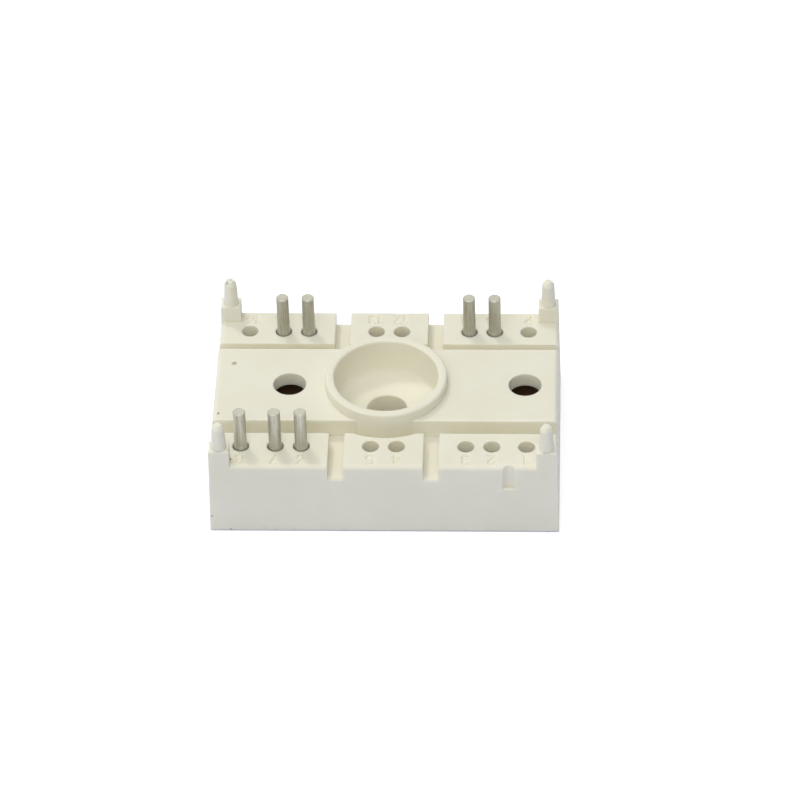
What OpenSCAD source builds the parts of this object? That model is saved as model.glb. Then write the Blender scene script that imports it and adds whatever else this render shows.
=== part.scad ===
// Power module without a base plate: a moulded housing held by one central
// screw presses a copper-clad ceramic against a heat sink. Round solder pins
// and four locating posts carry the circuit board above it.
// +X runs along the long side, +Z is up and the origin is the middle of the
// heat sink face.

/* [Housing] */
// Length of the housing at its foot, along X
body_w = 40.5; // [34:0.5:50]
// Depth of the housing at its foot, along Y
body_d = 28; // [24:0.5:36]
// Draft of the outer walls, in degrees
draft = 1.2; // [0:0.1:2]
// Radius of the outer top edges
edge_r = 0.5; // [0.1:0.05:0.6]
// Height of the foot of the housing above the heat sink face
rim_gap = 0.1; // [0.05:0.05:0.3]
// Thickness of the outer walls round the inner chamber
wall_t = 1.8; // [1.4:0.1:2.4]
// Thickness of the lid under the channels
lid_t = 1.7; // [1.2:0.1:2.2]

/* [Top face] */
// Height of the six pin pads above the heat sink face
pad_h = 9.8; // [8.5:0.1:11.5]
// Height of the middle bar
bar_h = 10.4; // [9:0.1:11.6]
// Depth of the pin pads at the foot of the housing, along Y
pad_d = 6.1; // [5.5:0.05:7]
// Radius of the long top edges of the middle bar
bar_edge_r = 0.15; // [0.05:0.05:0.4]
// Depth of the channels below the pin pads
channel_depth = 1.8; // [1:0.1:2.5]
// Width of the two channels beside the middle bar
channel_w = 1.55; // [1:0.05:2]
// Width of the cross slots between the pin pads
slot_w = 1.8; // [1:0.1:2.4]
// Radius of the outer edges of the channel and slot floors
floor_edge_r = 0.5; // [0.1:0.05:0.6]
// Diameter of the two gel filling holes
fill_d = 3.85; // [2.5:0.05:4.5]
// Distance of the left filling hole's axis from the outside of the cup
fill_left_gap = 4.2; // [3.9:0.1:8]
// Distance of the right filling hole's axis from the right wall
fill_right_inset = 4.05; // [3.9:0.05:8]
// Thickness of the lid at the filling holes
fill_lid_t = 1.8; // [1.2:0.1:2.4]

/* [Screw cup] */
// Radius of the cup at its mouth
cup_r = 6.1; // [5:0.1:6.6]
// Radius of the cup at its floor
cup_floor_r = 6.0; // [4.8:0.1:6.4]
// Thickness of the cup wall at the rim
cup_wall = 1.0; // [0.7:0.1:1.4]
// Height of the rim above the heat sink face
cup_top = 11.8; // [11:0.1:11.9]
// Depth of the cup at its wall
cup_depth = 4.3; // [3:0.1:5]
// Fall of the dished floor from the wall to the screw hole
dish_fall = 0.85; // [0:0.05:1.2]
// Thickness of the cup floor round the screw hole
cup_floor_t = 1.5; // [1:0.1:2]
// Diameter of the hole for the M4 mounting screw
screw_d = 4.7; // [4.3:0.1:5.2]
// Thickness of the pressure column round the screw hole
column_t = 1.5; // [1:0.1:2]
// Width of the channel round the cup
cup_channel_w = 1.6; // [1:0.1:2]
// Radius of the rim edges of the cup
rim_r = 0.25; // [0.05:0.05:0.4]

/* [Board supports] */
// Height of the circuit board seats above the heat sink face
seat_h = 12; // [11.5:0.1:13]
// Size of a seat block along X, from the outer wall
seat_w = 2.35; // [2:0.05:3]
// Size of a seat block along Y, from the outer wall
seat_d = 1.9; // [1.8:0.05:2.6]
// Radius of the outer top edges of a seat block
seat_edge_r = 0.2; // [0.05:0.05:0.4]
// Distance of a post's axis from the outer wall, along X
post_inset_x = 1.2; // [1:0.05:1.4]
// Distance of a post's axis from the outer wall, along Y
post_inset_y = 0.95; // [0.9:0.05:1.2]
// Diameter of a locating post at its root
post_root_d = 1.75; // [1.4:0.05:1.8]
// Diameter of a locating post below its lead-in
post_d = 1.45; // [1.2:0.05:1.6]
// Diameter of the flat tip of a locating post
post_tip_d = 0.85; // [0.6:0.05:1.1]
// Height of the post tips above the heat sink face
post_top = 15.4; // [14:0.1:17]
// Length of the lead-in cone of a post
post_lead = 0.5; // [0.2:0.1:1]

/* [Pins] */
// Distance of the pin rows from the front and rear walls
row_inset = 3.85; // [3.6:0.05:4.2]
// Distance of the outer pin columns from the side walls
col_inset = 3.75; // [3.6:0.05:4.2]
// Distance between the outer pin column and the next
outer_pitch = 4; // [3.6:0.1:4.2]
// Distance between the pins of a pair
pin_pitch = 3; // [2.6:0.1:3.2]
// Diameter of the free end of a solder pin
pin_d = 1.45; // [1:0.05:1.5]
// Diameter of the shank of a pin inside the housing
shank_d = 1.65; // [1.6:0.05:1.8]
// Clearance of a shank in its guide hole, on the radius
pin_clear = 0.15; // [0.05:0.01:0.2]
// Depth of the end of a shank below the top of its pad
shank_sink = 0.1; // [0.05:0.05:0.3]
// Length of the cone from the shank to the free end
cone_h = 0.6; // [0.55:0.05:0.8]
// Height of the pin tops above the heat sink face
pin_top = 15.1; // [14:0.1:17]
// Chamfer of the pin tops
pin_chamfer = 0.12; // [0.05:0.01:0.3]
// Diameter of the soldered foot of a pin
foot_d = 2.4; // [1.8:0.1:2.6]
// Thickness of the soldered foot of a pin
foot_t = 0.4; // [0.2:0.1:0.8]

/* [Key mark] */
// Distance of the key mark from the right wall
key_inset = 5.75; // [4:0.25:14]
// Diameter of the half-round key mark in the front wall
key_d = 1.6; // [1.2:0.05:2]
// Depth of the key mark at its foot
key_depth = 0.55; // [0.2:0.05:0.6]
// Height of the foot of the key mark above the heat sink face
key_z = 6.5; // [5:0.1:8]

/* [Substrate] */
// Thickness of the ceramic
ceramic_t = 0.63; // [0.38:0.01:1]
// Width of the ledge that presses on the edge of the ceramic
ledge_w = 0.8; // [0.5:0.1:1]
// Gap between the edge of the ceramic and the housing, filled with adhesive
bead_w = 0.25; // [0.15:0.05:0.4]
// Thickness of the copper on both faces of the ceramic
copper_t = 0.3; // [0.2:0.05:0.4]
// Width of the bare ceramic at its edge
copper_margin = 0.8; // [0.5:0.1:1.5]
// Width of the bare ceramic between two copper areas
copper_gap = 0.8; // [0.5:0.1:1.2]
// Clearance of the screw in the ceramic, beyond the hole of the housing
ceramic_clear = 0.3; // [0.1:0.1:0.8]
// Bare ring of the ceramic round the pressure column
column_clear = 1.0; // [0.5:0.1:1.4]
// Corner radius of the copper areas
copper_r = 0.5; // [0.2:0.1:1]
// Width of the front copper areas between the feet of the pins and their inner edge
front_room = 1.5; // [1.3:0.1:1.9]

/* [Chips] */
// Side of the transistor chip
igbt_s = 6.4; // [4:0.1:7]
// Side of the inverse diode chip
inverse_s = 3.6; // [2.5:0.1:4]
// Side of the freewheeling diode chip
freewheel_s = 5; // [3:0.1:5.4]
// Distance of the chips from the edges of their copper areas
chip_margin = 0.6; // [0.3:0.1:1]
// Thickness of the chips
chip_t = 0.2; // [0.1:0.05:0.4]
// Thickness of the solder layers
solder_t = 0.1; // [0.05:0.01:0.2]
// Diameter of the heavy bond wires
wire_d = 0.35; // [0.2:0.05:0.5]
// Diameter of the gate bond wire
gate_wire_d = 0.2; // [0.1:0.05:0.3]
// Thickness of the wedge foot of a bond wire above the chip
wedge_t = 0.12; // [0.05:0.01:0.2]
// Distance between neighbouring bond wires
wire_pitch = 0.9; // [0.6:0.1:1.1]
// Distance of a bond wire's landing from the edge of its copper area
landing = 0.7; // [0.5:0.1:0.9]
// Distance of a bond wire's foot from the edge of its chip
bond_inset = 1; // [0.6:0.1:1.2]
// Distance of the gate wire's foot from the corner of the transistor chip
gate_inset = 0.6; // [0.4:0.1:0.8]
// Depth of the silicone gel above the ceramic
gel_depth = 3.9; // [3.8:0.1:4.2]

/* [Hidden] */
$fn = 48;
eps = 0.01;
arc_steps = 6;

// Levels of the top face
channel_z = pad_h - channel_depth;
ceiling_z = channel_z - lid_t;
bar_ceiling_z = bar_h - fill_lid_t;
cup_floor_z = cup_top - cup_depth;
dish_z = cup_floor_z - dish_fall;
cup_under_z = dish_z - cup_floor_t;

// Levels of the substrate stack, from the heat sink face up
ceramic_z = copper_t;
ceramic_top = ceramic_z + ceramic_t;
copper_top = ceramic_top + copper_t;
chip_z = copper_top + solder_t;
chip_top = chip_z + chip_t;
foot_top = chip_z + foot_t;
shank_top = pad_h - shank_sink;
gel_top = ceramic_top + gel_depth;

// Plan sizes, as half lengths
chamber_x = wall_at(body_w / 2, ceiling_z) - wall_t;
chamber_y = wall_at(body_d / 2, ceiling_z) - wall_t;
ceramic_x = chamber_x + ledge_w;
ceramic_y = chamber_y + ledge_w;
copper_x = chamber_x - copper_gap / 2;
copper_y = chamber_y - copper_gap / 2;
pad_y = body_d / 2 - pad_d;
bar_y = pad_y - channel_w;

// Radii about the screw axis
screw_r = screw_d / 2;
column_r = screw_r + column_t;
cup_out_r = cup_r + cup_wall;
cup_channel_r = cup_out_r + cup_channel_w;
bare_r = column_r + column_clear;
hole_r = shank_d / 2 + pin_clear;

// Pin rows and columns, from the middle, and every pin place as [x, y]; places 1 to 8
// run from right to left in the front row and 9 to 16 in the rear row
row_y = body_d / 2 - row_inset;
col_4 = body_w / 2 - col_inset;
col_3 = col_4 - outer_pitch;
col_2 = col_3 - pin_pitch;
col_1 = pin_pitch / 2;
columns = [col_4, col_3, col_2, col_1, -col_1, -col_2, -col_3, -col_4];
pin_places = concat([for (x = columns) [x, -row_y]], [for (x = columns) [x, row_y]]);
fitted = [6, 7, 8, 10, 11, 14, 15];

// Cross slots, filling holes and key mark
slot_x = (col_1 + col_2) / 2;
fill_holes_x = [-cup_out_r - fill_left_gap, body_w / 2 - fill_right_inset];
key_x = body_w / 2 - key_inset;

// Edges of the copper areas
front_top_y = -row_y + foot_d / 2 + front_room;
rear_bottom_y = front_top_y + copper_gap;
split_x = -(col_3 + col_4) / 2;
link_x = bare_r - copper_gap;
link_y = bare_r + copper_gap / 2;

// Centres of the chips on their copper areas
chip_y = rear_bottom_y + 2 * chip_margin;
igbt_at = [-copper_x + chip_margin + igbt_s / 2, chip_y + igbt_s / 2];
inverse_at = [igbt_at[0] + (igbt_s + inverse_s) / 2 + chip_margin, chip_y + inverse_s / 2];
freewheel_at = [bare_r + 2 * chip_margin + freewheel_s / 2, link_y];

// Ends of the middle bond wire of each row: on the chip, then on the copper
land_y = front_top_y - landing;
igbt_foot_y = igbt_at[1] - igbt_s / 2 + bond_inset;
inverse_foot_y = inverse_at[1] - inverse_s / 2 + bond_inset;
freewheel_foot_x = freewheel_at[0] - freewheel_s / 2 + bond_inset;
freewheel_foot_y = freewheel_at[1] + freewheel_s / 4;
igbt_wires = [[igbt_at[0] + wire_pitch, igbt_foot_y], [igbt_at[0] + 2 * wire_pitch, land_y]];
inverse_wires = [[inverse_at[0], inverse_foot_y], [inverse_at[0] + wire_pitch / 2, land_y]];
freewheel_wires = [[freewheel_foot_x, freewheel_foot_y], [link_x - landing, freewheel_foot_y]];
gate_wire = [igbt_at + (gate_inset - igbt_s / 2) * [1, 1], [-col_4, land_y]];

// Half length of a drafted wall at height z, from its half length at the heat sink face
function wall_at(half, z) = half - z * tan(draft);

// Points of an arc about c, from angle a0 to a1
function arc(c, r, a0, a1) = [
    for (i = [0:arc_steps])
        let (a = a0 + (a1 - a0) * i / arc_steps)
        [c[0] + r * cos(a), c[1] + r * sin(a)]
];

// Drafted outline with rounded top corners, seen along a wall
module wall_profile(half, top, r) {
    c = [wall_at(half, top - r) - r / cos(draft), top - r];
    right = arc(c, r, draft, 90);
    left = [for (i = [arc_steps:-1:0]) [-right[i][0], right[i][1]]];
    foot = wall_at(half, rim_gap);
    polygon(concat([[-foot, rim_gap], [foot, rim_gap]], right, left));
}

// Outer form of the housing up to a given height
module outer_form(top, r) {
    intersection() {
        rotate([90, 0, 0])
            linear_extrude(2 * body_d, center = true)
                wall_profile(body_w / 2, top, r);
        rotate([90, 0, 90])
            linear_extrude(2 * body_w, center = true)
                wall_profile(body_d / 2, top, r);
    }
}

// Box given by its middle, half sizes and two levels
module block(c, hx, hy, z0, z1) {
    translate([c[0] - hx, c[1] - hy, z0])
        cube([2 * hx, 2 * hy, z1 - z0]);
}

// Cylinder between two levels
module disc(c, r, z0, z1) {
    translate([c[0], c[1], z0])
        cylinder(r = r, h = z1 - z0);
}

// The right rear corner, mirrored into all four
module at_corners() {
    for (sx = [0, 1], sy = [0, 1])
        mirror([sx, 0, 0])
            mirror([0, sy, 0])
                children();
}

// Lower body up to the channel floors, with rounded outer edges
module lower_body()
    outer_form(channel_z, floor_edge_r);

// Six pin pads: the full block less the middle band, the channel round the cup
// and the cross slots
module pin_pads() {
    cut_z = channel_z - floor_edge_r;
    difference() {
        outer_form(pad_h, edge_r);
        block([0, 0], body_w, pad_y, cut_z, pad_h + 1);
        for (s = [-1, 1])
            block([s * slot_x, 0], slot_w / 2, body_d, cut_z, pad_h + 1);
        disc([0, 0], cup_channel_r, cut_z, pad_h + 1);
    }
}

// Half-round groove in the front wall, open to the top of its pin pad
module key_mark() {
    key_r = key_d / 2;
    disc([key_x, key_depth - key_r - wall_at(body_d / 2, key_z)], key_r, key_z, pad_h + 1);
}

// Middle bar between the channels
module middle_bar() {
    c = [bar_y - bar_edge_r, bar_h - bar_edge_r];
    right = arc(c, bar_edge_r, 0, 90);
    left = [for (i = [arc_steps:-1:0]) [-right[i][0], right[i][1]]];
    intersection() {
        rotate([90, 0, 0])
            linear_extrude(2 * body_d, center = true)
                wall_profile(body_w / 2, bar_h, edge_r);
        rotate([90, 0, 90])
            linear_extrude(2 * body_w, center = true)
                polygon(concat([[-bar_y, ceiling_z], [bar_y, ceiling_z]], right, left));
    }
}

// Wall and floor of the screw cup with the pressure column below, as one turned form
module cup_solid() {
    rim = concat(
        arc([cup_out_r - rim_r, cup_top - rim_r], rim_r, 0, 90),
        arc([cup_r + rim_r, cup_top - rim_r], rim_r, 90, 180)
    );
    rotate_extrude()
        polygon(concat(
            [[screw_r, ceramic_top], [column_r, ceramic_top], [column_r, cup_under_z],
             [cup_out_r, cup_under_z + cup_wall]],
            rim,
            [[cup_floor_r, cup_floor_z], [screw_r, dish_z]]
        ));
}

// Space inside the cup and the screw hole, clear of all other walls
module cup_space() {
    rotate_extrude()
        polygon([[0, -1], [screw_r, -1], [screw_r, dish_z], [cup_floor_r, cup_floor_z],
                 [cup_r, cup_top - rim_r], [cup_r, cup_top + 1], [0, cup_top + 1]]);
}

// Inner chamber, higher under the middle bar, and the recess for the substrate
module chamber() {
    block([0, 0], chamber_x, chamber_y, ceramic_top, ceiling_z);
    block([0, 0], chamber_x, bar_y - wall_t, ceiling_z - eps, bar_ceiling_z);
    block([0, 0], ceramic_x + bead_w, ceramic_y + bead_w, -1, ceramic_top);
}

// Seat block and locating post in the right rear corner
module corner_support() {
    x = wall_at(body_w / 2, seat_h);
    y = wall_at(body_d / 2, seat_h);
    translate([x - post_inset_x, y - post_inset_y, seat_h]) {
        cylinder(d1 = post_root_d, d2 = post_d, h = post_top - post_lead - seat_h);
        translate([0, 0, post_top - post_lead - seat_h])
            cylinder(d1 = post_d, d2 = post_tip_d, h = post_lead);
    }
}

module seat_blocks() {
    x = wall_at(body_w / 2, seat_h) - seat_w;
    y = wall_at(body_d / 2, seat_h) - seat_d;
    intersection() {
        outer_form(seat_h, seat_edge_r);
        at_corners()
            translate([x, y, channel_z])
                cube([body_w, body_d, seat_h]);
    }
}

module housing() color("ivory") {
    difference() {
        union() {
            difference() {
                union() {
                    lower_body();
                    pin_pads();
                    middle_bar();
                    seat_blocks();
                }
                chamber();
                key_mark();
                cup_space();
                disc([0, 0], cup_out_r - cup_wall / 2, cup_under_z + cup_wall, cup_top);
            }
            cup_solid();
            at_corners() corner_support();
        }
        for (p = pin_places)
            disc(p, hole_r, ceiling_z - 1, pad_h + 1);
        for (x = fill_holes_x)
            disc([x, 0], fill_d / 2, bar_ceiling_z - 1, bar_h + 1);
    }
}

module adhesive_bead() color("whitesmoke") {
    difference() {
        block([0, 0], ceramic_x + bead_w, ceramic_y + bead_w, ceramic_z, ceramic_top);
        block([0, 0], ceramic_x, ceramic_y, ceramic_z - 1, ceramic_top + 1);
    }
}

module ceramic_substrate() color("white") {
    difference() {
        block([0, 0], ceramic_x, ceramic_y, ceramic_z, ceramic_top);
        disc([0, 0], screw_r + ceramic_clear, ceramic_z - 1, ceramic_top + 1);
    }
}

module bottom_copper() color("peru") {
    hx = ceramic_x - copper_margin;
    hy = ceramic_y - copper_margin;
    difference() {
        linear_extrude(copper_t)
            rounded_area([-hx, -hy], [hx, hy]);
        disc([0, 0], screw_r + 2 * ceramic_clear, -1, copper_t + 1);
    }
}

// Rectangle between two corners with rounded corners
module rounded_area(a, b) {
    translate([a[0] + copper_r, a[1] + copper_r])
        offset(r = copper_r, $fn = 16)
            square([b[0] - a[0] - 2 * copper_r, b[1] - a[1] - 2 * copper_r]);
}

// Copper areas on the top of the ceramic: the collector area carries the
// transistor and the inverse diode and runs behind the column, the positive
// area takes the right side, and the emitter and gate areas lie in front.
module top_copper() {
    difference() {
        translate([0, 0, ceramic_top])
            linear_extrude(copper_t)
                children();
        disc([0, 0], bare_r, ceramic_top - 1, copper_top + 1);
    }
}

module collector_copper() color("peru")
    top_copper() {
        rounded_area([-copper_x, rear_bottom_y], [-bare_r, copper_y]);
        rounded_area([-bare_r - 2 * copper_r, link_y], [link_x, copper_y]);
    }

module emitter_copper() color("peru")
    top_copper()
        rounded_area([split_x + copper_gap / 2, -copper_y], [-col_1, front_top_y]);

module gate_copper() color("peru")
    top_copper()
        rounded_area([-copper_x, -copper_y], [split_x - copper_gap / 2, front_top_y]);

module positive_copper() color("peru")
    top_copper()
        rounded_area([bare_r, -copper_y], [copper_x, copper_y]);

module chip(at, s)
    block(at, s / 2, s / 2, chip_z, chip_top);

module igbt_chip() color("dimgray")
    chip(igbt_at, igbt_s);

module inverse_diode_chip() color("dimgray")
    chip(inverse_at, inverse_s);

module freewheel_diode_chip() color("dimgray")
    chip(freewheel_at, freewheel_s);

module chip_solder() color("silver") {
    block(igbt_at, igbt_s / 2, igbt_s / 2, copper_top, chip_z);
    block(inverse_at, inverse_s / 2, inverse_s / 2, copper_top, chip_z);
    block(freewheel_at, freewheel_s / 2, freewheel_s / 2, copper_top, chip_z);
}

// Half-round bond wire from a chip at p to the copper at q, on a flat wedge foot at each end
module bond_wire(p, q, d) {
    r = norm(q - p) / 2;
    foot = 0.7 * d;
    block(p, foot, foot, chip_top, chip_top + wedge_t);
    block(q, foot, foot, copper_top, chip_top + wedge_t);
    translate([(p[0] + q[0]) / 2, (p[1] + q[1]) / 2, chip_top + wedge_t])
        rotate([90, 0, atan2(q[1] - p[1], q[0] - p[0])])
            rotate_extrude(angle = 180)
                translate([r, 0])
                    circle(d = d);
}

// Bond wires side by side about a middle wire, given by its two ends
module wire_row(ends, side, count)
    for (i = [0:count - 1])
        let (o = (i - (count - 1) / 2) * wire_pitch * side)
        bond_wire(ends[0] + o, ends[1] + o, wire_d);

module igbt_bond_wires() color("silver")
    wire_row(igbt_wires, [1, 0], 4);

module inverse_bond_wires() color("silver")
    wire_row(inverse_wires, [1, 0], 3);

module freewheel_bond_wires() color("silver")
    wire_row(freewheel_wires, [0, 1], 3);

module gate_bond_wire() color("silver")
    bond_wire(gate_wire[0], gate_wire[1], gate_wire_d);

module pin_solder() color("silver")
    for (n = fitted)
        disc(pin_places[n - 1], foot_d / 2, copper_top, chip_z);

// Turned solder pin: a flanged foot on the copper, a shank and a thinner free end
module solder_pin(n) {
    free_r = pin_d / 2;
    shank_r = shank_d / 2;
    translate(pin_places[n - 1])
        rotate_extrude()
            polygon([[0, chip_z], [foot_d / 2, chip_z], [foot_d / 2, foot_top],
                     [shank_r, foot_top], [shank_r, shank_top],
                     [free_r, shank_top + cone_h], [free_r, pin_top - pin_chamfer],
                     [free_r - pin_chamfer, pin_top], [0, pin_top]]);
}

module pin_6() color("silver") solder_pin(6);
module pin_7() color("silver") solder_pin(7);
module pin_8() color("silver") solder_pin(8);
module pin_10() color("silver") solder_pin(10);
module pin_11() color("silver") solder_pin(11);
module pin_14() color("silver") solder_pin(14);
module pin_15() color("silver") solder_pin(15);

// Clear gel round everything on the substrate
module silicone_gel() color("lightblue", 0.5) {
    difference() {
        block([0, 0], chamber_x, chamber_y, ceramic_top, gel_top);
        disc([0, 0], column_r, ceramic_top - 1, gel_top + 1);
        collector_copper();
        emitter_copper();
        gate_copper();
        positive_copper();
        chip_solder();
        igbt_chip();
        inverse_diode_chip();
        freewheel_diode_chip();
        igbt_bond_wires();
        inverse_bond_wires();
        freewheel_bond_wires();
        gate_bond_wire();
        pin_solder();
        for (n = fitted)
            solder_pin(n);
    }
}

housing();
adhesive_bead();
silicone_gel();
ceramic_substrate();
bottom_copper();
collector_copper();
emitter_copper();
gate_copper();
positive_copper();
igbt_chip();
inverse_diode_chip();
freewheel_diode_chip();
chip_solder();
igbt_bond_wires();
inverse_bond_wires();
freewheel_bond_wires();
gate_bond_wire();
pin_solder();
pin_6();
pin_7();
pin_8();
pin_10();
pin_11();
pin_14();
pin_15();
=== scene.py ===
"""Looks of a power module without a base plate: a cream moulded housing with a central
screw cup, tinned solder pins in two rows and four board posts. Units are metres."""

import math

import bmesh
import bpy
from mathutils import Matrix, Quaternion, Vector
from mathutils.bvhtree import BVHTree
from mathutils.geometry import delaunay_2d_cdt


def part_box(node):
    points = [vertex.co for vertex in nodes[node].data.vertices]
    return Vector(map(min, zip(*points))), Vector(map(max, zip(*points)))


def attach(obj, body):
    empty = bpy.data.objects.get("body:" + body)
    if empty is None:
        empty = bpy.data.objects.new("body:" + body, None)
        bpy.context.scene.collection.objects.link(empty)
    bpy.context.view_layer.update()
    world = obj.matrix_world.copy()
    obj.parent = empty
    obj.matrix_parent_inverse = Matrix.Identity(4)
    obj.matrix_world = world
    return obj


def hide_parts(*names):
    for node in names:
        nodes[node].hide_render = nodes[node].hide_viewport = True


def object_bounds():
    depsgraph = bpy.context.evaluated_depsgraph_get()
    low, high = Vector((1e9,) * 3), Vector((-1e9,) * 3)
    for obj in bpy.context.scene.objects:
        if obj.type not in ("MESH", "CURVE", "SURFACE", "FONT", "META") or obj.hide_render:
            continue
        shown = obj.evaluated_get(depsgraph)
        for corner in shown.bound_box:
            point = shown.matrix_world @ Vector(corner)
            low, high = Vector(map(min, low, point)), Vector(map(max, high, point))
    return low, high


MM = 0.001

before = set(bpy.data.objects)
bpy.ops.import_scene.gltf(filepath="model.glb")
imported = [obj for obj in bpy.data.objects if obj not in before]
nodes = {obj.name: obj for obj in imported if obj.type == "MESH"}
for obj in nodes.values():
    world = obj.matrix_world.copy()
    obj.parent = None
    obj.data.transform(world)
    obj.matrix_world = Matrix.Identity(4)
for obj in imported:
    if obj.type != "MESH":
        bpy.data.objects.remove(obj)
cad_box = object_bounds()


# ---------------------------------------------------------------- camera

CAMERA_AT = Vector((0.02330, -0.43068, 0.38880))
CAMERA_AIM = Vector((0.00140, 0.00279, 0.00550))
CAMERA_ROLL = math.radians(-1.68)
CAMERA_LENS = 221.1


def add_camera():
    data = bpy.data.cameras.new("camera")
    data.lens = CAMERA_LENS
    data.sensor_width = 36
    data.clip_start = 0.01
    data.clip_end = 10
    camera = bpy.data.objects.new("camera", data)
    bpy.context.scene.collection.objects.link(camera)
    aim = (CAMERA_AIM - CAMERA_AT).to_track_quat("-Z", "Y")
    camera.rotation_mode = "QUATERNION"
    camera.rotation_quaternion = aim @ Quaternion((0, 0, 1), CAMERA_ROLL)
    camera.location = CAMERA_AT
    bpy.context.scene.camera = camera


# ---------------------------------------------------------------- node helpers

class Tree:
    """A node tree with short calls for the nodes that the materials use."""

    def __init__(self, owner):
        self.tree = owner.node_tree
        self.tree.nodes.clear()

    def node(self, kind, **settings):
        made = self.tree.nodes.new(kind)
        for name, value in settings.items():
            setattr(made, name, value)
        return made

    def link(self, source, target):
        self.tree.links.new(source, target)

    def feed(self, socket, value):
        """Links an output to the socket, or sets the socket to a number or colour."""
        if isinstance(value, bpy.types.NodeSocket):
            self.link(value, socket)
        else:
            socket.default_value = value

    def position(self):
        return self.node("ShaderNodeTexCoord").outputs["Object"]

    def scaled(self, vector, scale):
        made = self.node("ShaderNodeVectorMath", operation="MULTIPLY")
        self.feed(made.inputs[0], vector)
        made.inputs[1].default_value = scale
        return made.outputs["Vector"]

    def noise(self, vector, size, detail=2.0, roughness=0.5):
        """Noise whose features are about size metres wide, from 0 to 1."""
        made = self.node("ShaderNodeTexNoise")
        self.feed(made.inputs["Vector"], vector)
        made.inputs["Scale"].default_value = 1 / size
        made.inputs["Detail"].default_value = detail
        made.inputs["Roughness"].default_value = roughness
        return made.outputs["Fac"]

    def math(self, operation, a, b=0.0, clamp=False):
        made = self.node("ShaderNodeMath", operation=operation, use_clamp=clamp)
        self.feed(made.inputs[0], a)
        self.feed(made.inputs[1], b)
        return made.outputs[0]

    def ramp(self, value, low, high, to_low=0.0, to_high=1.0):
        """Maps low..high to to_low..to_high with soft ends, and holds beyond them."""
        made = self.node("ShaderNodeMapRange", interpolation_type="SMOOTHSTEP")
        self.feed(made.inputs["Value"], value)
        made.inputs["From Min"].default_value = low
        made.inputs["From Max"].default_value = high
        made.inputs["To Min"].default_value = to_low
        made.inputs["To Max"].default_value = to_high
        return made.outputs["Result"]

    def mix(self, share, a, b):
        made = self.node("ShaderNodeMix", data_type="RGBA")
        self.feed(made.inputs["Factor"], share)
        self.feed(made.inputs["A"], a)
        self.feed(made.inputs["B"], b)
        return made.outputs["Result"]

    def bump(self, height, distance, strength=1.0, normal=None):
        made = self.node("ShaderNodeBump")
        made.inputs["Strength"].default_value = strength
        made.inputs["Distance"].default_value = distance
        self.feed(made.inputs["Height"], height)
        if normal is not None:
            self.link(normal, made.inputs["Normal"])
        return made.outputs["Normal"]

    def soft_edges(self, radius):
        made = self.node("ShaderNodeBevel", samples=6)
        self.feed(made.inputs["Radius"], radius)
        return made.outputs["Normal"]

    def surface(self, shader):
        out = self.node("ShaderNodeOutputMaterial")
        self.link(shader, out.inputs["Surface"])


def rgba(red, green, blue):
    return (red, green, blue, 1.0)


def new_material(name):
    made = bpy.data.materials.new(name)
    made.use_nodes = True
    return made, Tree(made)


def principled(tree, color, roughness, metallic=0.0, normal=None, specular=0.5):
    made = tree.node("ShaderNodeBsdfPrincipled")
    tree.feed(made.inputs["Base Color"], color)
    tree.feed(made.inputs["Roughness"], roughness)
    made.inputs["Metallic"].default_value = metallic
    made.inputs["Specular IOR Level"].default_value = specular
    if normal is not None:
        tree.link(normal, made.inputs["Normal"])
    tree.surface(made.outputs["BSDF"])
    return made


def dress(node_name, made):
    """Gives a CAD node a material in its own slots."""
    mesh = nodes[node_name].data
    if not mesh.materials:
        mesh.materials.append(made)
    for i in range(len(mesh.materials)):
        mesh.materials[i] = made


# ---------------------------------------------------------------- places from the frame

def middle(node_name):
    low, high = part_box(node_name)
    return (low + high) / 2


ROW_Y = middle("pin_10").y
COLUMN_4 = -middle("pin_8").x
COLUMN_3 = -middle("pin_7").x
COLUMN_2 = -middle("pin_6").x
COLUMN_1 = (COLUMN_3 - COLUMN_2) / 2
RIGHT_HALF = [COLUMN_4, COLUMN_3, COLUMN_2, COLUMN_1]
COLUMNS = RIGHT_HALF + [-x for x in reversed(RIGHT_HALF)]


# ---------------------------------------------------------------- housing

PLASTIC = rgba(0.89, 0.855, 0.725)
PLASTIC_DEEP = rgba(0.87, 0.83, 0.69)
# Softness that the shading gives the edges, greater inside the screw cup
EDGE_SOFTNESS = 0.10 * MM
CUP_SOFTNESS = 0.30 * MM
CUP_INSIDE = 6.2 * MM
CUP_FADE = 0.2 * MM

# Small marks on the plastic: place in millimetres, radius, colour, strength
BROWN = rgba(0.30, 0.17, 0.07)
GREY = rgba(0.12, 0.12, 0.11)
MARKS = [
    ((-18.0, 3.6, 10.4), 0.25, BROWN, 0.6),
    ((-19.4, -5.2, 10.4), 0.15, GREY, 0.6),
    ((-17.65, -12.5, 9.8), 0.18, GREY, 0.7),
    ((-19.2, 12.5, 15.3), 0.20, GREY, 0.4),
    ((-18.65, 12.85, 15.4), 0.12, GREY, 0.3),
    ((-20.0, -13.95, 2.25), 0.12, GREY, 0.4),
    ((-17.85, -14.0, 0.25), 0.14, GREY, 0.4),
]
# Unevenness of a mark's outline, and the part of its radius where it starts and ends to fade
MARK_RAGGED = 0.1 * MM
MARK_FULL = 0.6
MARK_GONE = 1.6


def add_marks(tree, place, color):
    """Small stains with ragged outlines, each about its own point."""
    outline = tree.noise(place, 0.25 * MM, 3.0)
    ragged = tree.ramp(outline, 0.25, 0.75, -MARK_RAGGED, MARK_RAGGED)
    for at, radius, stain, strength in MARKS:
        apart = tree.node("ShaderNodeVectorMath", operation="DISTANCE")
        tree.link(place, apart.inputs[0])
        apart.inputs[1].default_value = Vector(at) * MM
        reach = tree.math("ADD", apart.outputs["Value"], ragged)
        share = tree.ramp(
            reach, MARK_FULL * radius * MM, MARK_GONE * radius * MM, strength, 0.0
        )
        color = tree.mix(share, color, stain)
    return color


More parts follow.
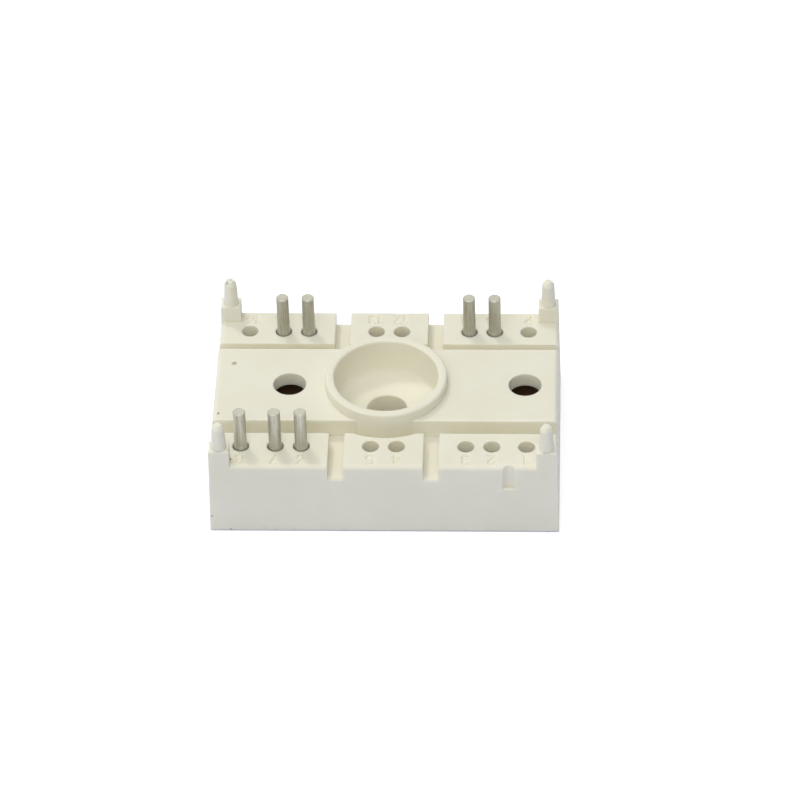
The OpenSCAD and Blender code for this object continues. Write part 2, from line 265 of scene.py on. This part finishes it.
def plastic_material():
    made, tree = new_material("cream_plastic")
    place = tree.position()
    clouds = tree.ramp(tree.noise(place, 6 * MM, 3.0, 0.6), 0.3, 0.7)
    color = tree.mix(clouds, PLASTIC, PLASTIC_DEEP)
    color = add_marks(tree, place, color)
    grain = tree.noise(place, 0.12 * MM, 3.0, 0.6)
    waves = tree.noise(place, 3.5 * MM, 1.0)
    roughness = tree.ramp(grain, 0.2, 0.8, 0.42, 0.54)
    from_axis = tree.node("ShaderNodeVectorMath", operation="LENGTH")
    tree.link(tree.scaled(place, (1.0, 1.0, 0.0)), from_axis.inputs[0])
    softness = tree.ramp(
        from_axis.outputs["Value"], CUP_INSIDE - CUP_FADE, CUP_INSIDE, CUP_SOFTNESS, EDGE_SOFTNESS
    )
    normal = tree.soft_edges(softness)
    normal = tree.bump(waves, 0.02 * MM, 0.6, normal)
    normal = tree.bump(grain, 0.004 * MM, 0.6, normal)
    shader = principled(tree, color, roughness, 0.0, normal, 0.45)
    shader.inputs["Subsurface Weight"].default_value = 0.9
    shader.inputs["Subsurface Radius"].default_value = (1.0, 1.0, 0.9)
    shader.inputs["Subsurface Scale"].default_value = 0.45 * MM
    return made


# ---------------------------------------------------------------- pins, copper and the rest

TIN_DARK = rgba(0.40, 0.39, 0.32)
TIN_LIGHT = rgba(0.60, 0.58, 0.50)
COPPER_BRIGHT = rgba(0.83, 0.42, 0.27)
COPPER_TARNISHED = rgba(0.72, 0.35, 0.21)
CERAMIC_DARK = rgba(0.80, 0.80, 0.77)
CERAMIC_LIGHT = rgba(0.88, 0.88, 0.86)
ADHESIVE_DARK = rgba(0.70, 0.70, 0.67)
ADHESIVE_LIGHT = rgba(0.78, 0.78, 0.75)
SILICON_DARK = rgba(0.16, 0.17, 0.19)
SILICON_LIGHT = rgba(0.22, 0.23, 0.25)
SOLDER_DARK = rgba(0.52, 0.52, 0.52)
SOLDER_LIGHT = rgba(0.68, 0.68, 0.67)
WIRE_DARK = rgba(0.72, 0.73, 0.74)
WIRE_LIGHT = rgba(0.82, 0.83, 0.84)
GEL_DARK = rgba(0.50, 0.26, 0.14)
GEL_LIGHT = rgba(0.64, 0.38, 0.22)
GEL_CLEARNESS = 0.45
GEL_IOR = 1.41


def tin_material():
    made, tree = new_material("matt_tin")
    place = tree.position()
    drawn = tree.scaled(place, (1.0, 1.0, 0.04))
    streaks = tree.noise(drawn, 0.12 * MM, 3.0, 0.6)
    blotches = tree.noise(place, 0.6 * MM, 3.0, 0.6)
    color = tree.mix(tree.ramp(streaks, 0.25, 0.75), TIN_DARK, TIN_LIGHT)
    roughness = tree.ramp(blotches, 0.3, 0.7, 0.48, 0.64)
    normal = tree.bump(streaks, 0.02 * MM, 0.7)
    principled(tree, color, roughness, 1.0, normal)
    return made


def copper_material():
    made, tree = new_material("bare_copper")
    place = tree.position()
    rolled = tree.scaled(place, (0.06, 1.0, 1.0))
    lines = tree.noise(rolled, 0.2 * MM, 3.0, 0.6)
    tarnish = tree.ramp(tree.noise(place, 5 * MM, 4.0, 0.6), 0.4, 0.7)
    color = tree.mix(tarnish, COPPER_BRIGHT, COPPER_TARNISHED)
    roughness = tree.ramp(lines, 0.3, 0.7, 0.28, 0.42)
    normal = tree.bump(lines, 0.004 * MM, 0.5)
    principled(tree, color, roughness, 1.0, normal)
    return made


def ceramic_material():
    made, tree = new_material("white_ceramic")
    place = tree.position()
    grain = tree.noise(place, 0.08 * MM, 3.0, 0.6)
    color = tree.mix(grain, CERAMIC_DARK, CERAMIC_LIGHT)
    normal = tree.bump(grain, 0.003 * MM, 0.5)
    principled(tree, color, 0.42, 0.0, normal)
    return made


def adhesive_material():
    made, tree = new_material("white_adhesive")
    place = tree.position()
    lumps = tree.noise(place, 0.7 * MM, 2.0)
    color = tree.mix(lumps, ADHESIVE_DARK, ADHESIVE_LIGHT)
    normal = tree.bump(lumps, 0.08 * MM, 0.8)
    principled(tree, color, 0.35, 0.0, normal)
    return made


def silicon_material():
    made, tree = new_material("silicon")
    place = tree.position()
    haze = tree.noise(place, 0.5 * MM, 3.0)
    color = tree.mix(haze, SILICON_DARK, SILICON_LIGHT)
    principled(tree, color, 0.25, 0.6)
    return made


def solder_material():
    made, tree = new_material("solder")
    place = tree.position()
    grain = tree.noise(place, 0.3 * MM, 3.0)
    color = tree.mix(grain, SOLDER_DARK, SOLDER_LIGHT)
    normal = tree.bump(grain, 0.01 * MM, 0.6)
    principled(tree, color, 0.35, 1.0, normal)
    return made


def wire_material():
    made, tree = new_material("aluminium_wire")
    place = tree.position()
    grain = tree.noise(place, 0.2 * MM, 2.0)
    color = tree.mix(grain, WIRE_DARK, WIRE_LIGHT)
    principled(tree, color, 0.3, 1.0)
    return made


def gel_material():
    made, tree = new_material("smoky_gel")
    place = tree.position()
    waves = tree.noise(place, 3 * MM, 2.0)
    color = tree.mix(waves, GEL_DARK, GEL_LIGHT)
    normal = tree.bump(waves, 0.1 * MM, 0.5)
    shader = principled(tree, color, 0.08, 0.0, normal)
    shader.inputs["Transmission Weight"].default_value = GEL_CLEARNESS
    shader.inputs["IOR"].default_value = GEL_IOR
    return made


def dress_all():
    """Gives every CAD node its material, and returns the plastic for the numbered copy."""
    plastic = plastic_material()
    dress("housing", plastic)
    tin = tin_material()
    for name in nodes:
        if name.startswith("pin_") and name != "pin_solder":
            dress(name, tin)
    copper = copper_material()
    for name in ("bottom", "collector", "emitter", "gate", "positive"):
        dress(name + "_copper", copper)
    dress("ceramic_substrate", ceramic_material())
    dress("adhesive_bead", adhesive_material())
    dress("silicone_gel", gel_material())
    silicon = silicon_material()
    for name in ("igbt_chip", "inverse_diode_chip", "freewheel_diode_chip"):
        dress(name, silicon)
    solder = solder_material()
    for name in ("chip_solder", "pin_solder"):
        dress(name, solder)
    wire = wire_material()
    for name in nodes:
        if "_bond_wire" in name:
            dress(name, wire)
    return plastic


# ---------------------------------------------------------------- housing with sunk numbers

# A flat stretch wider than this is a face of its own, and not a facet of a rounding
FACET_W = 0.2 * MM
# Facets that turn by less than this belong to one rounding
FACET_TURN = math.radians(28)
SAME_NORMAL = 0.9999
WELD = 0.001 * MM
LEVEL = 0.005 * MM
# Bounds on the upward part of a normal, for walls, for the cup's dished floor and for flat tops
WALL_Z = 0.3
FLOOR_Z = 0.9
FLAT_Z = 0.999

DIGIT_H = 1.75 * MM
DIGIT_PITCH = 1.0 * MM
NUMBER_GAP = 2.18 * MM
# The last number stands a little nearer the middle, clear of its board post
NUMBER_16_SHIFT = 0.45 * MM
STROKE_W = 0.38 * MM
STROKE_DEPTH = 0.25 * MM
GRID = 0.055 * MM
# Distance from a pin's axis to a clear place on its pad
BESIDE_PIN = 1.7 * MM
# Rounding of the corner between the wall and the floor of the screw cup
CUP_CORNER_R = 0.6 * MM
CUP_CORNER_STEPS = 6
UP = Vector((0, 0, 1))
DOWN = -UP


def bow(x, y, width, height, start, end, steps=14):
    """Points of an oval arc about x, y from one angle to another, in degrees."""
    angles = [math.radians(start + (end - start) * i / steps) for i in range(steps + 1)]
    return [(x + width * math.cos(a), y + height * math.sin(a)) for a in angles]


# Strokes of each digit in a cell one unit high, about its middle
DIGITS = {
    "0": [bow(0, 0, 0.24, 0.42, 0, 360, 24)],
    "1": [[(0.16, -0.42), (0.16, 0.42), (-0.06, 0.22)]],
    "2": [bow(0, 0.2, 0.22, 0.22, 165, -20) + [(-0.22, -0.42), (0.24, -0.42)]],
    "3": [bow(0, 0.21, 0.21, 0.21, 150, -90), bow(0, -0.21, 0.23, 0.21, 90, -150)],
    "4": [[(0.12, -0.42), (0.12, 0.42), (-0.24, -0.16), (0.26, -0.16)]],
    "5": [[(0.2, 0.42), (-0.18, 0.42), (-0.2, 0.05)] + bow(0, -0.16, 0.24, 0.26, 125, -140)],
    "6": [[(0.17, 0.42), (-0.17, -0.06)], bow(0, -0.18, 0.23, 0.24, 0, 360, 20)],
    "7": [[(-0.23, 0.42), (0.23, 0.42), (-0.06, -0.42)]],
    "8": [bow(0, 0.21, 0.19, 0.21, 0, 360, 18), bow(0, -0.21, 0.22, 0.21, 0, 360, 18)],
    "9": [[(-0.17, -0.42), (0.17, 0.06)], bow(0, 0.18, 0.23, 0.24, 0, 360, 20)],
}


class Number:
    """A pin number sunk into its pad, which reads from the rear."""

    def __init__(self, number, x, y):
        digits = str(number)
        if number == 16:
            x += NUMBER_16_SHIFT
        self.segments = []
        for place, digit in enumerate(digits):
            at_x = x + ((len(digits) - 1) / 2 - place) * DIGIT_PITCH
            for stroke in DIGITS[digit]:
                points = [Vector((at_x - u * DIGIT_H, y - v * DIGIT_H)) for u, v in stroke]
                self.segments += list(zip(points, points[1:]))
        across = [point.x for segment in self.segments for point in segment]
        along = [point.y for segment in self.segments for point in segment]
        self.low = Vector((min(across) - STROKE_W, min(along) - STROKE_W))
        self.high = Vector((max(across) + STROKE_W, max(along) + STROKE_W))

    def grid(self):
        """Points of a fine grid over the number."""
        across = int((self.high.x - self.low.x) / GRID)
        along = int((self.high.y - self.low.y) / GRID)
        return [
            Vector((self.low.x + GRID * (i + 0.5), self.low.y + GRID * (k + 0.5)))
            for i in range(across) for k in range(along)
        ]

    def depth(self, point):
        """Depth of the round-bottomed groove of the nearest stroke under a point."""
        near = STROKE_W / 2
        for start, end in self.segments:
            along = end - start
            share = max(0.0, min(1.0, (point - start).dot(along) / along.length_squared))
            near = min(near, (point - start - along * share).length)
        share = 1 - near / (STROKE_W / 2)
        return STROKE_DEPTH * share * share * (3 - 2 * share)


def numbers():
    front = [Number(i + 1, x, -ROW_Y - NUMBER_GAP) for i, x in enumerate(COLUMNS)]
    rear = [Number(i + 9, x, ROW_Y + NUMBER_GAP) for i, x in enumerate(COLUMNS)]
    return front + rear


def wide_faces(mesh):
    """Indices of the faces that lie in a wide flat stretch."""
    planes = {}
    for face in mesh.polygons:
        level = face.normal.dot(face.center)
        key = tuple(round(c, 3) for c in face.normal) + (round(level, 5),)
        planes.setdefault(key, []).append(face)
    wide = set()
    for faces in planes.values():
        places = [mesh.vertices[i].co for face in faces for i in face.vertices]
        spans = [max(p[k] for p in places) - min(p[k] for p in places) for k in range(3)]
        if sum(face.area for face in faces) > max(spans) * FACET_W:
            wide.update(face.index for face in faces)
    return wide


def fillet_normals(mesh):
    """Corner normals of the CAD mesh, with the narrow facets of its rounded edges shaded as
    true rounds: tangent to the wide face beside them, and even from facet to facet."""
    exact = [corner.vector.copy() for corner in mesh.corner_normals]
    wide = wide_faces(mesh)
    around = {}
    for face in mesh.polygons:
        for corner in face.loop_indices:
            place = mesh.vertices[mesh.loops[corner].vertex_index].co
            spot = tuple(round(c / WELD) for c in place)
            around.setdefault(spot, []).append((corner, face.index in wide))
    smooth = list(exact)
    for corners in around.values():
        for corner, is_wide in corners:
            if is_wide:
                continue
            mates = [
                (exact[other].dot(exact[corner]), other, other_wide)
                for other, other_wide in corners
                if exact[other].dot(exact[corner]) > math.cos(FACET_TURN)
            ]
            walls = [mate for mate in mates if mate[2]]
            if walls:
                smooth[corner] = exact[max(walls)[1]]
                continue
            apart = []
            for _, other, _ in mates:
                if all(exact[other].dot(seen) < SAME_NORMAL for seen in apart):
                    apart.append(exact[other])
            smooth[corner] = sum(apart, Vector()).normalized()
    return smooth


def is_wall(face):
    return abs(face.normal.z) < WALL_Z


def cup_corner_edges(shape):
    """Edges of the corner between the cup's wall and its floor."""
    found = []
    for edge in shape.edges:
        walls = [face for face in edge.link_faces if is_wall(face)]
        floors = [face for face in edge.link_faces if face.normal.z > FLOOR_Z]
        if len(walls) != 1 or len(floors) != 1 or edge.is_convex:
            continue
        radius = max(vert.co.xy.length for vert in edge.verts)
        faces_axis = walls[0].normal.xy.dot(edge.verts[0].co.xy) < 0
        if radius < CUP_INSIDE and faces_axis:
            found.append(edge)
    return found


def corner_arc(vert):
    """Points and normals of the rounding at one place of the cup's corner, from the wall
    down to the floor. It is worked out in the upright plane through the axis, as distances
    outward and up from the corner."""
    outward = Vector((vert.co.x, vert.co.y, 0)).normalized()
    walls = sum((face.normal for face in vert.link_faces if is_wall(face)), Vector())
    floors = sum((face.normal for face in vert.link_faces if not is_wall(face)), Vector())
    up_wall = Vector((walls.z, -walls.dot(outward))).normalized()
    inward = Vector((-floors.z, floors.dot(outward))).normalized()
    half = up_wall.angle(inward) / 2
    reach = CUP_CORNER_R / math.tan(half)
    centre = (up_wall + inward).normalized() * (CUP_CORNER_R / math.sin(half))
    start = (up_wall * reach - centre).normalized()
    end = (inward * reach - centre).normalized()
    points = []
    for i in range(CUP_CORNER_STEPS + 1):
        spoke = start.slerp(end, i / CUP_CORNER_STEPS)
        at = centre + spoke * CUP_CORNER_R
        place = vert.co + outward * at.x + UP * at.y
        points.append((place, -(outward * spoke.x + UP * spoke.y)))
    return points


def round_cup_corner(shape):
    """Replaces the sharp corner at the foot of the cup's wall with a rounded one."""
    kept = shape.loops.layers.float_vector["kept_normal"]
    corner = cup_corner_edges(shape)
    ring = sorted({vert for edge in corner for vert in edge.verts}, key=lambda vert: vert.index)
    arcs = {}
    normals = {}
    for vert in ring:
        arcs[vert] = []
        for place, normal in corner_arc(vert):
            made = shape.verts.new(place)
            arcs[vert].append(made)
            normals[made] = normal
    old = sorted({face for vert in ring for face in vert.link_faces}, key=lambda face: face.index)
    for face in old:
        end = 0 if is_wall(face) else -1
        moved = shape.faces.new([arcs[v][end] if v in arcs else v for v in face.verts])
        for was, now in zip(face.loops, moved.loops):
            now[kept] = was[kept]
    for edge in corner:
        left, right = (arcs[vert] for vert in edge.verts)
        for i in range(CUP_CORNER_STEPS):
            strip = shape.faces.new([left[i], left[i + 1], right[i + 1], right[i]])
            for loop in strip.loops:
                loop[kept] = normals[loop.vert]
    bmesh.ops.delete(shape, geom=old, context="FACES")
    shape.verts.index_update()
    shape.faces.index_update()


def sink_numbers(shape, top):
    """Lays the flat tops of the pads anew with fine grids, and sinks the numbers there."""
    flat = [
        face for face in shape.faces
        if face.normal.z > FLAT_Z and abs(face.calc_center_median().z - top) < LEVEL
    ]
    corners = sorted({vert for face in flat for vert in face.verts}, key=lambda vert: vert.index)
    order = {vert: i for i, vert in enumerate(corners)}
    pads = BVHTree.FromPolygons(
        [vert.co for vert in corners], [[order[vert] for vert in face.verts] for face in flat]
    )
    rim = sorted({
        (order[edge.verts[0]], order[edge.verts[1]]) for face in flat for edge in face.edges
        if any(other.normal.z < FLAT_Z for other in edge.link_faces)
    })
    fresh = []
    for number in numbers():
        for point in number.grid():
            above = Vector((point.x, point.y, top + MM))
            if pads.ray_cast(above, DOWN)[0] is not None:
                fresh.append((point, number.depth(point)))
    points = [vert.co.xy for vert in corners] + [point for point, _ in fresh]
    places, _, triangles, origins, _, _ = delaunay_2d_cdt(points, rim, [], 0, WELD / 100)
    bmesh.ops.delete(shape, geom=flat, context="FACES_ONLY")
    verts = []
    for place, origin in zip(places, origins):
        if origin and origin[0] < len(corners):
            verts.append(corners[origin[0]])
        else:
            depth = fresh[origin[0] - len(corners)][1] if origin else 0.0
            verts.append(shape.verts.new((place.x, place.y, top - depth)))
    made = []
    for triangle in triangles:
        centre = (places[triangle[0]] + places[triangle[1]] + places[triangle[2]]) / 3
        above = Vector((centre.x, centre.y, top + MM))
        if pads.ray_cast(above, DOWN)[0] is not None:
            made.append(shape.faces.new([verts[i] for i in triangle]))
    loose = [edge for edge in shape.edges if not edge.link_faces]
    bmesh.ops.delete(shape, geom=loose, context="EDGES")
    bmesh.ops.recalc_face_normals(shape, faces=shape.faces)
    shape.normal_update()
    kept = shape.loops.layers.float_vector["kept_normal"]
    on_rim = set(corners)
    for face in made:
        for loop in face.loops:
            loop[kept] = UP if loop.vert in on_rim else loop.vert.normal


def housing_shape():
    """The CAD housing as an editable shape that keeps its corner normals."""
    mesh = nodes["housing"].data.copy()
    kept = mesh.attributes.new("kept_normal", "FLOAT_VECTOR", "CORNER")
    for corner, normal in enumerate(fillet_normals(mesh)):
        kept.data[corner].vector = normal
    shape = bmesh.new()
    shape.from_mesh(mesh)
    bmesh.ops.remove_doubles(shape, verts=shape.verts, dist=WELD)
    shape.verts.index_update()
    shape.faces.index_update()
    shape.normal_update()
    return shape


def numbered_housing(plastic):
    """A copy of the CAD housing, with its cup rounded and the pin numbers sunk in its pads."""
    above = Vector((-COLUMN_4 + BESIDE_PIN, -ROW_Y, cad_box[1].z + MM))
    top = nodes["housing"].ray_cast(above, DOWN)[1].z
    shape = housing_shape()
    round_cup_corner(shape)
    sink_numbers(shape, top)
    mesh = bpy.data.meshes.new("moulded_housing")
    shape.to_mesh(mesh)
    shape.free()
    for name in ("custom_normal", "sharp_face", "sharp_edge"):
        if name in mesh.attributes:
            mesh.attributes.remove(mesh.attributes[name])
    kept = mesh.attributes["kept_normal"]
    mesh.normals_split_custom_set([tuple(corner.vector) for corner in kept.data])
    mesh.attributes.remove(mesh.attributes["kept_normal"])
    mesh.materials.clear()
    mesh.materials.append(plastic)
    housing = bpy.data.objects.new("moulded_housing", mesh)
    bpy.context.scene.collection.objects.link(housing)
    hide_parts("housing")
    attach(housing, "root")


# ---------------------------------------------------------------- stage and light

FLOOR_HALF = 3.0
FLOOR_GAP = 0.02 * MM
FLOOR_PAPER = rgba(0.73, 0.76, 0.92)
GLOW_COLOR = rgba(1.0, 0.97, 0.84)
FLOOR_GLOW = 0.60
# The floor does not glow under the object, which paints a contact shadow over the real shade
# there. The glow starts this far inside the object's outline, and is full this far outside it
GLOW_FROM = 0.15 * MM
GLOW_FULL = 0.08 * MM
# Light of the sky low at the right, low at the left and overhead
SKY_RIGHT = 0.12
SKY_LEFT = 0.68
SKY_TOP = 0.76
WHITE = rgba(1.0, 1.0, 1.0)


def outside_footprint(tree):
    """0 under the object, where the floor does not glow and so shows a painted contact shadow
    over the real shade, and 1 beside it.
    """
    along = tree.node("ShaderNodeSeparateXYZ")
    tree.link(tree.position(), along.inputs[0])
    beyond = [
        tree.math("SUBTRACT", tree.math("ABSOLUTE", along.outputs[axis]), half)
        for axis, half in (("X", cad_box[1].x), ("Y", cad_box[1].y))
    ]
    return tree.ramp(tree.math("MAXIMUM", *beyond), -GLOW_FROM, GLOW_FULL)


def seen_directly(tree):
    """1 for what the camera sees, straight or through glossy and clear surfaces."""
    path = tree.node("ShaderNodeLightPath")
    seen = tree.math("MAXIMUM", path.outputs["Is Camera Ray"], path.outputs["Is Glossy Ray"])
    return tree.math("MAXIMUM", seen, path.outputs["Is Transmission Ray"])


def add_floor():
    mesh = bpy.data.meshes.new("floor")
    shape = bmesh.new()
    bmesh.ops.create_grid(shape, x_segments=1, y_segments=1, size=FLOOR_HALF)
    shape.to_mesh(mesh)
    shape.free()
    floor = bpy.data.objects.new("floor", mesh)
    bpy.context.scene.collection.objects.link(floor)
    floor.location.z = cad_box[0].z - FLOOR_GAP
    made, tree = new_material("floor_paper")
    diffuse = tree.node("ShaderNodeBsdfDiffuse")
    diffuse.inputs["Color"].default_value = FLOOR_PAPER
    glow = tree.node("ShaderNodeEmission")
    glow.inputs["Color"].default_value = GLOW_COLOR
    # The floor glows only beside the object. Under it the floor is left dark, a painted contact
    # shadow over the real shade
    clear = tree.math("MULTIPLY", seen_directly(tree), outside_footprint(tree))
    tree.link(tree.math("MULTIPLY", clear, FLOOR_GLOW), glow.inputs["Strength"])
    both = tree.node("ShaderNodeAddShader")
    tree.link(diffuse.outputs[0], both.inputs[0])
    tree.link(glow.outputs[0], both.inputs[1])
    tree.surface(both.outputs[0])
    mesh.materials.append(made)


def add_world():
    world = bpy.data.worlds.new("studio")
    bpy.context.scene.world = world
    world.use_nodes = True
    tree = Tree(world)
    background = tree.node("ShaderNodeBackground")
    background.inputs["Color"].default_value = WHITE
    toward = tree.node("ShaderNodeSeparateXYZ")
    tree.link(tree.node("ShaderNodeTexCoord").outputs["Generated"], toward.inputs[0])
    low_sky = tree.ramp(toward.outputs["X"], -1.0, 1.0, SKY_LEFT, SKY_RIGHT)
    high = tree.ramp(toward.outputs["Z"], 0.3, 1.0)
    rise = tree.math("MULTIPLY", tree.math("SUBTRACT", SKY_TOP, low_sky), high)
    sky = tree.math("ADD", low_sky, rise)
    strength = tree.math("MAXIMUM", sky, seen_directly(tree))
    tree.link(strength, background.inputs["Strength"])
    out = tree.node("ShaderNodeOutputWorld")
    tree.link(background.outputs[0], out.inputs["Surface"])


def add_lamp(name, at, size, watts, color):
    data = bpy.data.lights.new(name, "AREA")
    data.shape = "DISK"
    data.size = size
    data.energy = watts
    data.color = color
    lamp = bpy.data.objects.new(name, data)
    lamp.location = at
    lamp.rotation_euler = (-Vector(at)).to_track_quat("-Z", "Y").to_euler()
    bpy.context.scene.collection.objects.link(lamp)


def add_lamps():
    add_lamp("key", (-0.16, 0.25, 0.54), 0.08, 0.60, (0.97, 0.99, 0.92))
    add_lamp("front_fill", (-0.06, -0.50, 0.60), 0.5, 1.50, (0.89, 0.955, 1.0))


# ---------------------------------------------------------------- build

add_camera()
add_world()
add_lamps()
add_floor()
numbered_housing(dress_all())
bpy.context.scene.view_settings.view_transform = "Standard"
